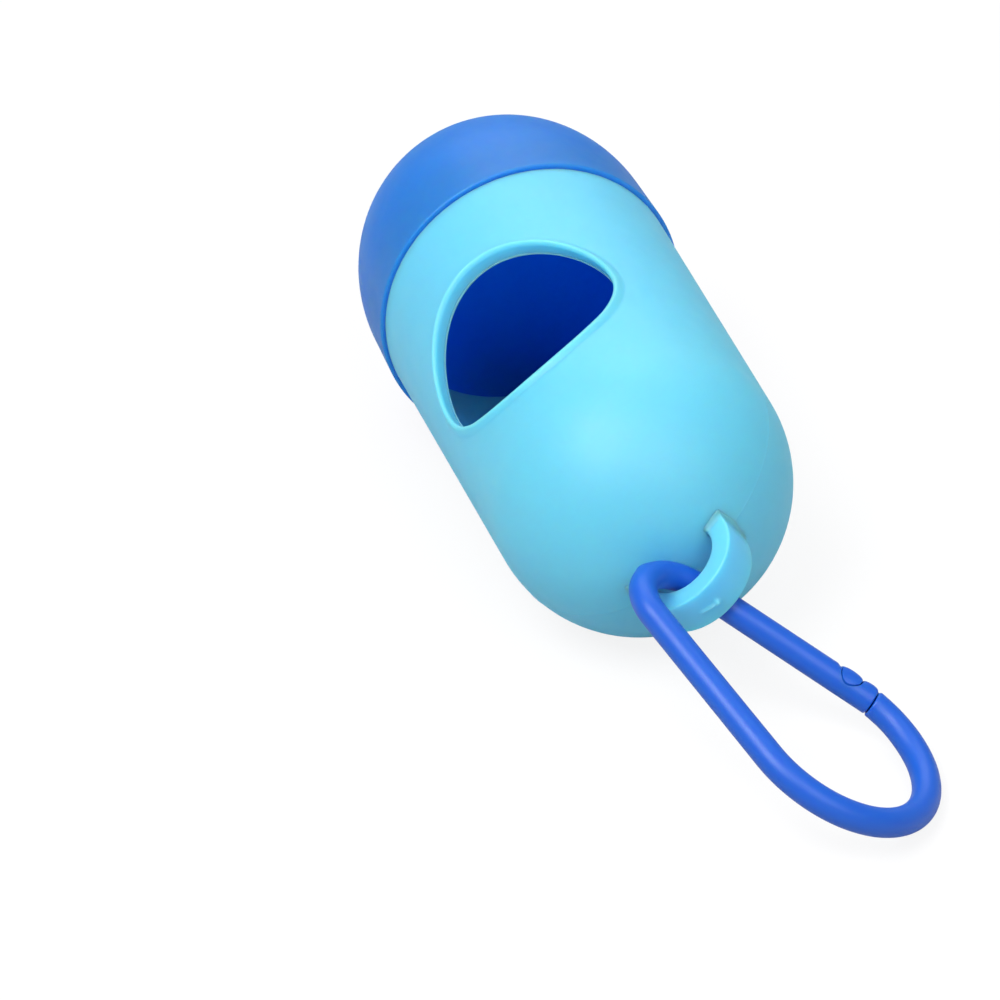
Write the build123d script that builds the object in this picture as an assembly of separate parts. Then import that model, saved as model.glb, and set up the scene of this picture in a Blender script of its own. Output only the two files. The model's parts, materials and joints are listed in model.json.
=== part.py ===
from build123d import *
from math import acos, asin, atan2, cos, degrees, hypot, radians, sin
import os

# Dog waste-bag dispenser, in millimetres: a capsule-shaped case that holds a roll of bags, a push-on
# cap, and a carabiner with a springy gate, hooked through a loop moulded on the case's tail.
#
# The case is drawn on its own axes. X runs from the centre of the round tail to the cap, Z points out
# of the middle of the window and Y runs across it. The carabiner is drawn on axes of its own too: X
# runs from the centre of its narrow arc to the centre of its wide arc, and it lies in the XY plane.
# At the end all pieces are laid on the ground as they lie at rest: the case on its tail and on the
# cap's rim, rolled a little, with the carabiner beside it.

# ---- the case
tail_radius = 18.5           # outside of the round tail
mouth_at = 44.17             # tail centre to the shoulder that the cap's rim sits on
case_wall = 1.25             # wall of the round tail
neck_length = 7.50           # spigot that reaches into the cap
neck_wall = 0.95             # wall of the spigot
neck_lead = 0.50             # lead-in chamfer on the spigot's end

# ---- the window, seen along Z, is the space that two discs share
window_start = 4.79          # tail centre to the edge of the window nearest the tail
window_length = 25.12        # along the case
cap_arc_extra = 0.26         # radius of the edge towards the cap, beyond half the length
tail_arc_extra = 1.30        # and of the edge towards the tail
window_corner = 3.0          # rounding where the two arcs meet
lip_height = 0.40            # raised lip round the window, proud of the case
lip_tail = 1.15              # width of the lip towards the tail
lip_side = 1.25              # at the sides
lip_cap = 0.70               # and towards the cap

# ---- the cap
cap_radius = 20.81           # outside of the skirt
cap_wall = 1.25
rim_overhang = 0.61          # the cap's rim stands out from the shoulder that it sits on
skirt_length = 9.23          # straight part of the skirt, from its rim
dome_length = 23.70          # the elliptic dome beyond it
rim_edge = 0.30              # rounding of the skirt's rim
neck_play = 0.05             # running fit of the skirt on the spigot, on the radius

# ---- the carabiner: a pear-shaped loop of round rod, two arcs joined by straight strands
rod_diameter = 3.24
narrow_arc = 5.60            # centre-line radius of the narrow end
wide_arc = 11.60             # centre-line radius of the wide end
arc_spacing = 22.20          # between the centres of the two arcs
gate_root = 4.50             # along the strand, from the narrow arc to where the gate flexes
gate_end_angle = 94.5        # place of the gate's end on the wide arc, from the loop's long axis
gate_slit = 0.28             # gap round the interlocking hooks
knuckle_play = 0.05          # gap between the gate's ball and its socket
hook_spacing = 2.75          # between the round heads of the two hooks, along the strand
hook_offset = 0.325          # of each head from the middle of the rod, to either side
gate_head = 1.15             # radius of the head on the gate's hook
gate_bulge = 0.45            # extra thickness of the gate inside the loop, beside the other head
bulge_radius = 1.30

# ---- the loop on the tail that the carabiner passes through
bar_thickness = 2.10         # of the loop's bar, in the plane of the loop
bar_width = 4.40             # and across that plane
bar_inner_edge = 0.80        # rounding of the bar where the rod bears on it
bar_outer_edge = 0.25
bar_play = 0.20              # gap left beside the slanting rod
rod_off_tail = 0.47          # the rod's crossing clears the tail's pole by this much
rod_outward = 1.65           # the crossing is this far outward of the loop's centre
rod_aside = 0.59             # and this far to its side

# ---- how everything lies at rest
roll = 35.6                  # turn of the case about its own axis, off window-up
carabiner_turn_x = 64.68     # turns of the carabiner against the case, about X, then Y, then Z
carabiner_turn_y = -8.01
carabiner_turn_z = -140.89
grip_angle = 115.7           # place on the narrow arc where the rod crosses the loop
overrun = 1.0                # how far a cutting shape runs past the face that it cuts

# ---- worked out from the sizes above
rod_radius = rod_diameter / 2
mouth_radius = cap_radius - rim_overhang
window_cap_arc = window_length / 2 + cap_arc_extra
window_tail_arc = window_length / 2 + tail_arc_extra
neck_end = mouth_at + neck_length
skirt_bore = cap_radius - cap_wall
neck_radius = skirt_bore - neck_play
neck_bore = neck_radius - neck_wall
tail_bore = tail_radius - case_wall
dome_at = mouth_at + skirt_length
above = 2 * cap_radius
tilt = degrees(asin((cap_radius - tail_radius) / mouth_at))
strand_angle = degrees(asin((wide_arc - narrow_arc) / arc_spacing))
carabiner_turn = Rot(carabiner_turn_x, carabiner_turn_y, carabiner_turn_z)
rod_heading = (carabiner_turn * Pos(-sin(radians(grip_angle)), cos(radians(grip_angle)), 0)).position
rod_lean = acos(abs(rod_heading.Z))


def loop_centre():
    """Centre of the loop's opening, on the case's axis behind the tail."""
    return -(tail_radius + rod_radius + rod_off_tail - rod_outward)


def loop_inner():
    """Radius of the loop's opening, which clears a rod that leans across a bar with round edges."""
    corner = bar_width / 2 - bar_inner_edge
    reach = rod_radius + bar_play + bar_inner_edge + corner * sin(rod_lean)
    return hypot(rod_outward, rod_aside) + reach / cos(rod_lean) - bar_inner_edge


def capsule(round_radius, end_radius, length, straight=0.0):
    """Round-tailed solid whose tapering flank leaves the round end without a crease."""
    flank = acos(round_radius / hypot(length, end_radius)) - atan2(length, end_radius)
    leaves = (-round_radius * sin(flank), round_radius * cos(flank))
    outline = [
        CenterArc((0, 0), round_radius, 90 + degrees(flank), 90 - degrees(flank)),
        Line(leaves, (length, end_radius)),
        Line((length + straight, 0), (-round_radius, 0)),
    ]
    if straight:
        outline.append(Line((length, end_radius), (length + straight, end_radius)))
    outline.append(Line((length + straight, end_radius), (length + straight, 0)))
    return revolve(make_face(outline), Axis.X)


def window_outline(cap_arc, tail_arc, start, length):
    """The space shared by a disc towards the cap and a disc towards the tail, its corners rounded.

    The discs are drawn smaller by the rounding, and their shared space is then grown back by it."""
    cap_disc = Pos(start + length - cap_arc, 0) * Circle(cap_arc - window_corner)
    tail_disc = Pos(start + tail_arc, 0) * Circle(tail_arc - window_corner)
    return offset(cap_disc & tail_disc, window_corner)


def window_cutter():
    outline = window_outline(window_cap_arc, window_tail_arc, window_start, window_length)
    return extrude(outline, above)


def window_lip():
    """Band round the window that stands proud of the case, before the window is cut."""
    outline = window_outline(
        window_cap_arc + lip_side,
        window_tail_arc + lip_side,
        window_start - lip_tail,
        window_length + lip_tail + lip_cap,
    )
    skin = capsule(tail_radius + lip_height, mouth_radius + lip_height, mouth_at)
    return skin & extrude(outline, above)


def tail_loop():
    """Half-round loop that stands on the tail, with legs that end inside the wall.

    One section of the bar, rounder where the rod bears, is turned half way round and run on as legs."""
    centre = loop_centre()
    inner = loop_inner()
    outer = inner + bar_thickness
    bar = Pos((inner + outer) / 2, 0) * Rectangle(bar_thickness, bar_width)
    bar = fillet(bar.vertices().group_by(Axis.X)[0], bar_inner_edge)
    bar = fillet(bar.vertices().group_by(Axis.X)[-1], bar_outer_edge)
    section = Plane((centre, 0, 0), x_dir=(0, 1, 0), z_dir=(1, 0, 0)) * bar
    leg_end = -tail_bore * cos(asin(outer / tail_bore))
    leg = extrude(section, leg_end - centre)
    bow = revolve(section, Axis((centre, 0, 0), (0, 0, 1)), 180)
    return bow + leg + mirror(leg, Plane.XZ)


def case():
    neck = Pos(mouth_at - overrun, 0, 0) * Rot(0, 90, 0) * Cylinder(
        neck_radius, neck_length + overrun, align=(Align.CENTER, Align.CENTER, Align.MIN)
    )
    neck = chamfer(neck.edges().group_by(Axis.X)[-1], neck_lead)
    hollow = capsule(tail_bore, neck_bore, neck_end, overrun)
    body = capsule(tail_radius, mouth_radius, mouth_at) + neck + window_lip() + tail_loop()
    return body - hollow - window_cutter()


def cap():
    """Skirt and dome as one shell, turned about the case's axis."""
    inner_dome = dome_length - cap_wall
    outline = [
        Line((mouth_at, skirt_bore), (mouth_at, cap_radius)),
        Line((mouth_at, cap_radius), (dome_at, cap_radius)),
        EllipticalCenterArc((dome_at, 0), dome_length, cap_radius, 0, arc_size=90),
        Line((dome_at + dome_length, 0), (dome_at + inner_dome, 0)),
        EllipticalCenterArc((dome_at, 0), inner_dome, skirt_bore, 0, arc_size=90),
        Line((dome_at, skirt_bore), (mouth_at, skirt_bore)),
    ]
    shell = revolve(make_face(outline), Axis.X)
    rim = [e for e in shell.edges().group_by(Axis.X)[0] if e.radius > skirt_bore + cap_wall / 2]
    return fillet(rim, rim_edge)


def on_arc(centre_x, radius, angle):
    """Point of a centre-line arc, at an angle from the carabiner's long axis."""
    return (centre_x + radius * cos(radians(angle)), radius * sin(radians(angle)))


def rod_loop():
    """The closed pear-shaped loop of round rod."""
    bend = 90 + strand_angle
    narrow_top = on_arc(0, narrow_arc, bend)
    narrow_low = on_arc(0, narrow_arc, -bend)
    wide_top = on_arc(arc_spacing, wide_arc, bend)
    wide_low = on_arc(arc_spacing, wide_arc, -bend)
    path = Wire([
        CenterArc((0, 0), narrow_arc, bend, 360 - 2 * bend),
        Line(narrow_low, wide_low),
        CenterArc((arc_spacing, 0), wide_arc, -bend, 2 * bend),
        Line(wide_top, narrow_top),
    ])
    section = Plane(origin=path @ 0, z_dir=path % 0) * Circle(rod_radius)
    return sweep(section, path)


def strand_frame():
    """Axes at the gate's end: X along the strand towards the wide arc, Y out of the loop."""
    end = on_arc(arc_spacing, wide_arc, gate_end_angle)
    return Pos(end[0], end[1], 0) * Rot(0, 0, strand_angle)


def gate_pivot():
    """Where the gate flexes, on the strand near the narrow arc."""
    start = on_arc(0, narrow_arc, 90 + strand_angle)
    run = radians(strand_angle)
    return (start[0] + gate_root * cos(run), start[1] + gate_root * sin(run))


def gate_length():
    """From the gate's end back to its pivot, along the strand."""
    pivot = gate_pivot()
    end = on_arc(arc_spacing, wide_arc, gate_end_angle)
    run = radians(strand_angle)
    return (end[0] - pivot[0]) * cos(run) + (end[1] - pivot[1]) * sin(run)


def gate_outline(grow):
    """Outline of the gate with its hook, seen square to the loop, made larger all round by grow."""
    depth = 2 * rod_radius
    head_x = -(gate_slit / 2 + gate_head)
    other_x = head_x - hook_spacing
    other_head = hypot(hook_spacing, 2 * hook_offset) - gate_head - gate_slit
    pocket_radius = other_head + gate_slit
    block_end = other_x - pocket_radius + grow
    tongue_top = hook_offset - pocket_radius + grow
    neck_low = -depth - grow

    def block(left, right, low, high):
        return Pos((left + right) / 2, (low + high) / 2) * Rectangle(right - left, high - low)

    strand = block(-gate_length(), block_end, neck_low, depth + grow)
    tongue = block(block_end - depth, head_x, neck_low, tongue_top)
    pocket = Pos(other_x, hook_offset) * Circle(pocket_radius - grow)
    head = Pos(head_x, -hook_offset) * Circle(gate_head + grow)
    head += block(head_x - gate_head - grow, head_x + gate_head + grow, neck_low, -hook_offset)
    return (strand + tongue) - pocket + head


def gate_region(grow):
    return extrude(strand_frame() * gate_outline(grow), 2 * rod_radius, both=True)


def bulge():
    """Thickening of the gate on the inside of the loop, where the other hook's head cuts into it."""
    head_x = -(gate_slit / 2 + gate_head)
    middle = head_x - hook_spacing
    inward = rod_radius + gate_bulge - bulge_radius
    run = Pos(middle, -inward, 0) * Rot(0, 90, 0) * Cylinder(bulge_radius, hook_spacing)
    for end in (-1, 1):
        run += Pos(middle + end * hook_spacing / 2, -inward, 0) * Sphere(bulge_radius)
    return strand_frame() * run


def carabiner_frame():
    pivot = gate_pivot()
    socket = Pos(pivot[0], pivot[1], 0) * Sphere(rod_radius + knuckle_play)
    return rod_loop() - gate_region(gate_slit) - socket


def carabiner_gate():
    pivot = gate_pivot()
    ball = Pos(pivot[0], pivot[1], 0) * Sphere(rod_radius)
    return ((rod_loop() + bulge()) & gate_region(0)) + ball


# ---- at rest: the carabiner in the loop, then the whole on the ground
grip = on_arc(0, narrow_arc, grip_angle)
crossing = Pos(loop_centre() - rod_outward, rod_aside, 0)
carabiner_place = crossing * carabiner_turn * Pos(-grip[0], -grip[1], 0)
case_place = Pos(0, 0, tail_radius) * Rot(0, -tilt, 0) * Rot(-roll, 0, 0)

pieces = {
    "case": case_place * case(),
    "cap": case_place * cap(),
    "carabiner_frame": case_place * carabiner_place * carabiner_frame(),
    "carabiner_gate": case_place * carabiner_place * carabiner_gate(),
}
extent = Compound(children=[Compound(p.wrapped) for p in pieces.values()]).bounding_box()
origin = Pos(-extent.center().X, -extent.center().Y, -extent.min.Z)

os.makedirs("parts", exist_ok=True)
for name, piece in pieces.items():
    export_step(origin * piece, f"parts/{name}.step")
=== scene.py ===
"""Looks of a dog waste-bag dispenser: a capsule-shaped case with a push-on cap and a carabiner.

Every shape is worked out in millimetres on the axes of the piece that carries it, and is then
placed in the shared frame in metres. The case's axes run along the case (x), across its window (y)
and out through the window (z), from the centre of the round tail. The carabiner lies in the plane
of its own x and y, from the centre of its narrow arc, with x towards the wide arc.
"""

import json
import logging
from dataclasses import dataclass
from enum import Enum
from math import acos, asin, atan2, cos, degrees, hypot, pi, radians, sin, sqrt

import bpy
import numpy as np
from mathutils import Matrix, Vector

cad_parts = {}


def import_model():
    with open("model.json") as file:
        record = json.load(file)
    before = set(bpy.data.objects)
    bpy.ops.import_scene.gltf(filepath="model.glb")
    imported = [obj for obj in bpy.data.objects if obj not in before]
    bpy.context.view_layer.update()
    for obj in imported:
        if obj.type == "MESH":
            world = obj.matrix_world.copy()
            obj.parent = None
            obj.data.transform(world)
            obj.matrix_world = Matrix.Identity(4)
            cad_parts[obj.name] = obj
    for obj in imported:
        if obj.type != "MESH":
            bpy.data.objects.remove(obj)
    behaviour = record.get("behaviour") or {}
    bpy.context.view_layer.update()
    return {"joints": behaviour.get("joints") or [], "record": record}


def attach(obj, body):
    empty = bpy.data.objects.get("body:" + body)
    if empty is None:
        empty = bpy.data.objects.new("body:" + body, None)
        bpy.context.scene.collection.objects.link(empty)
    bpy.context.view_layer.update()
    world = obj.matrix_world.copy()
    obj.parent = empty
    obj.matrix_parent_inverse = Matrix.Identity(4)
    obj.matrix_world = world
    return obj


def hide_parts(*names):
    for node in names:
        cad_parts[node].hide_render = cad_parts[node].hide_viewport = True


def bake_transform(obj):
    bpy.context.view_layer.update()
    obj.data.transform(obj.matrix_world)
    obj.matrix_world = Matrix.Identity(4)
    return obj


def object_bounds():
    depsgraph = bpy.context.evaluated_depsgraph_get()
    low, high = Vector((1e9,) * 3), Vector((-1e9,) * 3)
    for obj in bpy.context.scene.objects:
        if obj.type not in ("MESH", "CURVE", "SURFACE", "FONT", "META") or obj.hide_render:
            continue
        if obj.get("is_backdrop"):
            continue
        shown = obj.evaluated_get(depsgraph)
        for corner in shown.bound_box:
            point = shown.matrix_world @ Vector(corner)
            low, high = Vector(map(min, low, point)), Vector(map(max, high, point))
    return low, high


Pair = tuple[float, float]
Triple = tuple[float, float, float]
Point = Pair | np.ndarray

MM = 0.001
CREASE = radians(38)  # faces that meet more sharply than this show an edge
WHITE = (1.0, 1.0, 1.0, 1.0)
MIX_A, MIX_B, MIX_RESULT = 6, 7, 2  # the colour sockets of a Mix node, whose names are not unique
NOISE_LOW, NOISE_HIGH = 0.3, 0.7  # a noise texture lies mostly between these
log = logging.getLogger("dispenser")


# ---------------------------------------------------------------- axes and meshes


@dataclass(frozen=True)
class Axes:
    """Right-handed axes in the shared frame, on which lengths are in millimetres."""

    origin: np.ndarray
    x: np.ndarray
    y: np.ndarray
    z: np.ndarray

    def place(self, points: np.ndarray) -> np.ndarray:
        """Points on these axes, in millimetres, as points of the shared frame, in metres."""
        return self.origin + MM * (points @ np.stack([self.x, self.y, self.z]))


class Skin:
    """One closed surface, gathered grid by grid before it becomes a mesh."""

    def __init__(self) -> None:
        """Starts with no points and no faces."""
        self.points: list[np.ndarray] = []
        self.faces: list[np.ndarray] = []
        self.count = 0

    def add(self, points: np.ndarray) -> np.ndarray:
        """Adds points to the surface.

        Args:
            points: An array of any shape whose last axis holds x, y and z.

        Returns:
            The numbers of the new points, in the array's own shape.
        """
        flat = points.reshape(-1, 3)
        index = self.count + np.arange(len(flat)).reshape(points.shape[:-1])
        self.points.append(flat)
        self.count += len(flat)
        return index

    def span(self, index: np.ndarray, keep: np.ndarray | None = None) -> None:
        """Joins each point of a grid to its neighbours with four-sided faces.

        Args:
            index: Point numbers in rows and columns.
            keep: Which cells of the grid get a face, or None for all.
        """
        corners = [index[:-1, :-1], index[:-1, 1:], index[1:, 1:], index[1:, :-1]]
        cells = np.stack(corners, axis=-1)
        self.faces.append(cells.reshape(-1, 4) if keep is None else cells[keep])

    def fan(self, ring: np.ndarray, centre: np.ndarray, reverse: bool = False) -> None:
        """Closes a ring of points with triangles to its centre.

        Args:
            ring: Point numbers round the ring, with the first not repeated.
            centre: The centre point.
            reverse: Whether the triangles turn the other way.
        """
        hub = np.full(len(ring), self.add(centre.reshape(1, 3))[0])
        ahead = np.roll(ring, -1)
        order = [hub, ahead, ring] if reverse else [hub, ring, ahead]
        self.faces.append(np.stack(order, axis=-1))

    def tube(self, rings: np.ndarray) -> None:
        """Makes a closed tube of rings, with both ends filled.

        Args:
            rings: Points as ring, place round the ring, and coordinate.
        """
        index = self.add(rings)
        self.span(closed(index))
        self.fan(index[0], rings[0].mean(axis=0), reverse=True)
        self.fan(index[-1], rings[-1].mean(axis=0))

    def build(self, name: str, axes: Axes, material: bpy.types.Material) -> bpy.types.Object:
        """Makes the surface an object that sits at the origin.

        Points in no face are left out, and all faces are turned if the volume that they enclose,
        the sum of each corner triangle's triple product, comes out negative.

        Args:
            name: The piece's name.
            axes: The axes that the points are given on.
            material: What the piece is made of.

        Returns:
            The new object.
        """
        placed = axes.place(np.concatenate(self.points))
        corners = np.concatenate([face.ravel() for face in self.faces])
        used, flat = np.unique(corners, return_inverse=True)
        cuts = np.cumsum([face.size for face in self.faces])[:-1]
        faces = [part.reshape(old.shape) for part, old in zip(np.split(flat, cuts), self.faces)]
        points = placed[used]
        middle = points.mean(axis=0)
        volume = sum(
            float(np.einsum("ij,ij", a - middle, np.cross(b - middle, c - middle)))
            for face in faces
            for k in range(1, face.shape[1] - 1)
            for a, b, c in [(points[face[:, 0]], points[face[:, k]], points[face[:, k + 1]])]
        )
        if volume < 0:
            faces = [face[:, ::-1] for face in faces]
        mesh = bpy.data.meshes.new(name)
        mesh.from_pydata(points.tolist(), [], [row for face in faces for row in face.tolist()])
        mesh.materials.append(material)
        mesh.shade_smooth()
        mesh.set_sharp_from_angle(angle=CREASE)
        mesh.update()
        piece = bpy.data.objects.new(name, mesh)
        bpy.context.scene.collection.objects.link(piece)
        return piece


def closed(index: np.ndarray) -> np.ndarray:
    """A grid of point numbers with its first column repeated at the end."""
    return np.concatenate([index, index[:, :1]], axis=1)


def step(x: np.ndarray, start: float, end: float) -> np.ndarray:
    """A smooth step from 0 to 1.

    Formula: three times t squared less twice t cubed, where t is the share of the way.

    Args:
        x: Where the step is wanted.
        start: Where it leaves 0.
        end: Where it reaches 1.

    Returns:
        The step at each x.
    """
    t = np.clip((x - start) / (end - start), 0, 1)
    return t * t * (3 - 2 * t)


def bell(distance: np.ndarray, width: float) -> np.ndarray:
    """The bell curve, e to the minus square of distance over width."""
    return np.exp(-((distance / width) ** 2))


def unit(vector: np.ndarray) -> np.ndarray:
    """The vector, or each row of vectors, at length 1."""
    return vector / np.linalg.norm(vector, axis=-1, keepdims=True)


def arc(centre: Pair, radii: Pair, start: float, end: float, steps: int) -> np.ndarray:
    """Points of an arc of an ellipse: centre plus radii times the cosine and sine of an angle.

    Args:
        centre: The ellipse's centre.
        radii: Its two half axes.
        start: First angle in degrees.
        end: Last angle in degrees.
        steps: Number of steps between them.

    Returns:
        The points, one row each.
    """
    angle = np.radians(np.linspace(start, end, steps + 1))
    return np.stack(
        [centre[0] + radii[0] * np.cos(angle), centre[1] + radii[1] * np.sin(angle)], axis=-1
    )


def run(start: Point, end: Point, steps: int) -> np.ndarray:
    """Evenly spaced points of a straight run, both ends included."""
    return np.linspace(start, end, steps + 1)


def revolve(place: np.ndarray, radius: np.ndarray, turns: np.ndarray) -> np.ndarray:
    """Turns a profile round the x axis.

    Formula: y is the radius times the sine of the turn, and z the radius times its cosine.

    Args:
        place: Places along the axis, as one column.
        radius: Radii, as one column, or with a column for each turn.
        turns: Angles round the axis.

    Returns:
        Points as row, column and coordinate.
    """
    y, z = radius * np.sin(turns), radius * np.cos(turns)
    return np.stack([np.broadcast_to(place, y.shape), y, z], axis=-1)


# ---------------------------------------------------------------- materials


def linear(colour: str) -> tuple[float, float, float, float]:
    """Turns an sRGB colour to linear light.

    Formula: a channel c up to 0.04045 is c / 12.92, and above it ((c + 0.055) / 1.055) to the 2.4.

    Args:
        colour: The colour as hex, such as #1259C4.

    Returns:
        Linear red, green, blue and alpha.
    """
    channels = [int(colour[i : i + 2], 16) / 255 for i in (1, 3, 5)]
    red, green, blue = (
        c / 12.92 if c <= 0.04045 else ((c + 0.055) / 1.055) ** 2.4 for c in channels
    )
    return red, green, blue, 1.0


def add_node(
    tree: bpy.types.NodeTree,
    kind: str,
    sockets: dict[str | int, object] | None = None,
    **settings: object,
) -> bpy.types.Node:
    """Adds a node with its settings and links.

    Args:
        tree: The node tree that gets it.
        kind: Blender's name for the kind of node.
        sockets: Inputs by name or number: a value, or another node's output.
        **settings: Properties of the node itself.

    Returns:
        The new node.
    """
    node = tree.nodes.new(kind)
    for name, value in settings.items():
        setattr(node, name, value)
    for key, value in (sockets or {}).items():
        if isinstance(value, bpy.types.NodeSocket):
            tree.links.new(value, node.inputs[key])
        else:
            node.inputs[key].default_value = value
    return node


@dataclass(frozen=True)
class MouldedPlastic:
    """Plastic from a steel mould with a fine satin grain.

    The grain breaks the gloss into a soft sheen, slow waves in the skin bend it a little, and the
    colour drifts by a few percent where the melt flowed. Light soaks into the thin walls. A mould's
    grain is about 0.05 mm across, too fine to show, so it is drawn some four times as coarse.

    Attributes:
        name: The material's name.
        colour: Its colour as sRGB hex.
        drift: The colour that it drifts towards, as sRGB hex.
        roughness: Roughness of the gloss, from 0 to 1.
        ior: Index of refraction.
        soak: Share of light that soaks in.
        soak_depth: How deep red, green and blue light reach, in mm.
        grain: Spacing of the mould's grain in mm.
        grain_depth: Its depth in mm.
        flow: Spacing in mm of the patches in which the colour drifts.
        rub: Spacing in mm of the patches that handling has polished.
        rub_range: How much smoother they make the surface, and how much rougher the rest is.
        wave: Spacing of the skin's slow waves in mm.
        wave_depth: Their depth in mm.
    """

    name: str
    colour: str
    drift: str
    roughness: float
    ior: float
    soak: float
    soak_depth: Triple
    grain: float = 0.22
    grain_depth: float = 0.006
    flow: float = 9.0
    rub: float = 3.5
    rub_range: Pair = (0.04, 0.05)
    wave: float = 6.0
    wave_depth: float = 0.05

    def make(self) -> bpy.types.Material:
        """Makes the material, whose nodes read Object coordinates.

        Returns:
            The new material.
        """
        material = bpy.data.materials.new(self.name)
        material.use_nodes = True
        tree = material.node_tree
        tree.nodes.clear()
        place = add_node(tree, "ShaderNodeTexCoord").outputs["Object"]
        flow = add_node(
            tree,
            "ShaderNodeTexNoise",
            {"Vector": place, "Scale": 1 / (self.flow * MM), "Detail": 3.0, "Roughness": 0.55},
        )
        colour = add_node(
            tree,
            "ShaderNodeMix",
            {"Factor": flow.outputs["Fac"], MIX_A: linear(self.colour), MIX_B: linear(self.drift)},
            data_type="RGBA",
        )
        rub = add_node(
            tree,
            "ShaderNodeTexNoise",
            {"Vector": place, "Scale": 1 / (self.rub * MM), "Detail": 5.0, "Roughness": 0.6},
        )
        gloss = add_node(
            tree,
            "ShaderNodeMapRange",
            {
                "Value": rub.outputs["Fac"],
                "From Min": NOISE_LOW,
                "From Max": NOISE_HIGH,
                "To Min": self.roughness - self.rub_range[0],
                "To Max": self.roughness + self.rub_range[1],
            },
        )
        grain = add_node(
            tree,
            "ShaderNodeTexNoise",
            {"Vector": place, "Scale": 1 / (self.grain * MM), "Detail": 2.0},
        )
        waves = add_node(
            tree,
            "ShaderNodeTexNoise",
            {"Vector": place, "Scale": 1 / (self.wave * MM), "Detail": 1.0},
        )
        skin = add_node(
            tree,
            "ShaderNodeBump",
            {"Height": grain.outputs["Fac"], "Distance": self.grain_depth * MM, "Strength": 1.0},
        )
        surface = add_node(
            tree,
            "ShaderNodeBump",
            {
                "Height": waves.outputs["Fac"],
                "Distance": self.wave_depth * MM,
                "Strength": 1.0,
                "Normal": skin.outputs["Normal"],
            },
        )
        shader = add_node(
            tree,
            "ShaderNodeBsdfPrincipled",
            {
                "Base Color": colour.outputs[MIX_RESULT],
                "Roughness": gloss.outputs["Result"],
                "IOR": self.ior,
                "Subsurface Weight": self.soak,
                "Subsurface Radius": self.soak_depth,
                "Subsurface Scale": MM,
                "Normal": surface.outputs["Normal"],
            },
            subsurface_method="RANDOM_WALK",
        )
        add_node(tree, "ShaderNodeOutputMaterial", {"Surface": shader.outputs["BSDF"]})
        return material


# The two polypropylenes start from its index of 1.49 and the acetal has its own, 1.48. The case's
# was then raised and the cap's lowered, until their sheen matched.

# Moulded polypropylene, thin-walled: a wide soft sheen, and a pale glow from light in the wall.
CASE_PLASTIC = MouldedPlastic(
    name="polypropylene_cyan_satin",
    colour="#60C2EA",
    drift="#66C8EE",
    roughness=0.54,
    ior=1.58,
    soak=1.0,
    soak_depth=(1.4, 3.2, 4.4),
)

# The same in a deep blue: only blue light comes back out, which fills the shaded side with colour.
CAP_PLASTIC = MouldedPlastic(
    name="polypropylene_royal_satin",
    colour="#1970F6",
    drift="#1E76FB",
    roughness=0.48,
    ior=1.45,
    soak=1.0,
    soak_depth=(0.3, 4.5, 10.0),
)

# Moulded acetal, harder and denser: a tighter highlight along the rod and little light in it.
CARABINER_PLASTIC = MouldedPlastic(
    name="acetal_royal_satin",
    colour="#1259C4",
    drift="#1660CB",
    roughness=0.42,
    ior=1.48,
    soak=0.5,
    soak_depth=(0.1, 0.4, 1.0),
    grain=0.18,
)


# ---------------------------------------------------------------- the case


@dataclass(frozen=True)
class Lens:
    """Outline of the space that two discs share, its corners rounded, seen square to the window.

    Attributes:
        start: Place along the case of the edge nearest the tail, in mm, as all of these are.
        length: Length along the case.
        cap_arc: Radius of the edge towards the cap.
        tail_arc: Radius of the edge towards the tail.
        corner: Radius of the two corners.
    """

    start: float
    length: float
    cap_arc: float
    tail_arc: float
    corner: float

    def distance(self, points: np.ndarray) -> tuple[np.ndarray, np.ndarray]:
        """Signed distance from the outline, and the direction straight out of it.

        Both discs are drawn smaller by the corner's radius. A point is nearest to an arc if it lies
        in that arc's sector, and else to the tip where the two arcs meet. The corner's radius is
        then taken off the distance.

        Args:
            points: Points as rows of x and y.

        Returns:
            The distances, positive outside, and the directions as rows.
        """
        cap_at = self.start + self.length - self.cap_arc
        tail_at = self.start + self.tail_arc
        cap_radius, tail_radius = self.cap_arc - self.corner, self.tail_arc - self.corner
        gap = tail_at - cap_at
        tip_x = cap_at + (gap**2 + cap_radius**2 - tail_radius**2) / (2 * gap)
        tip_y = sqrt(cap_radius**2 - (tip_x - cap_at) ** 2)
        x, y = points[:, 0], points[:, 1]
        from_cap = np.stack([x - cap_at, y], axis=-1)
        from_tail = np.stack([x - tail_at, y], axis=-1)
        from_tip = np.stack([x - tip_x, y - np.where(y < 0, -tip_y, tip_y)], axis=-1)
        past_cap = np.linalg.norm(from_cap, axis=1) - cap_radius
        past_tail = np.linalg.norm(from_tail, axis=1) - tail_radius
        inside = (past_cap < 0) & (past_tail < 0)
        in_cap_sector = np.abs(np.arctan2(y, x - cap_at)) <= atan2(tip_y, tip_x - cap_at)
        in_tail_sector = np.abs(np.arctan2(y, x - tail_at)) >= atan2(tip_y, tip_x - tail_at)
        by_cap = np.where(inside, past_cap >= past_tail, in_cap_sector)
        by_tail = np.where(inside, past_cap < past_tail, in_tail_sector)
        past_tip = np.linalg.norm(from_tip, axis=1)
        distance = np.where(by_cap, past_cap, np.where(by_tail, past_tail, past_tip))
        rest = np.where(by_tail[:, None], from_tail, from_tip)
        return distance - self.corner, unit(np.where(by_cap[:, None], from_cap, rest))


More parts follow.
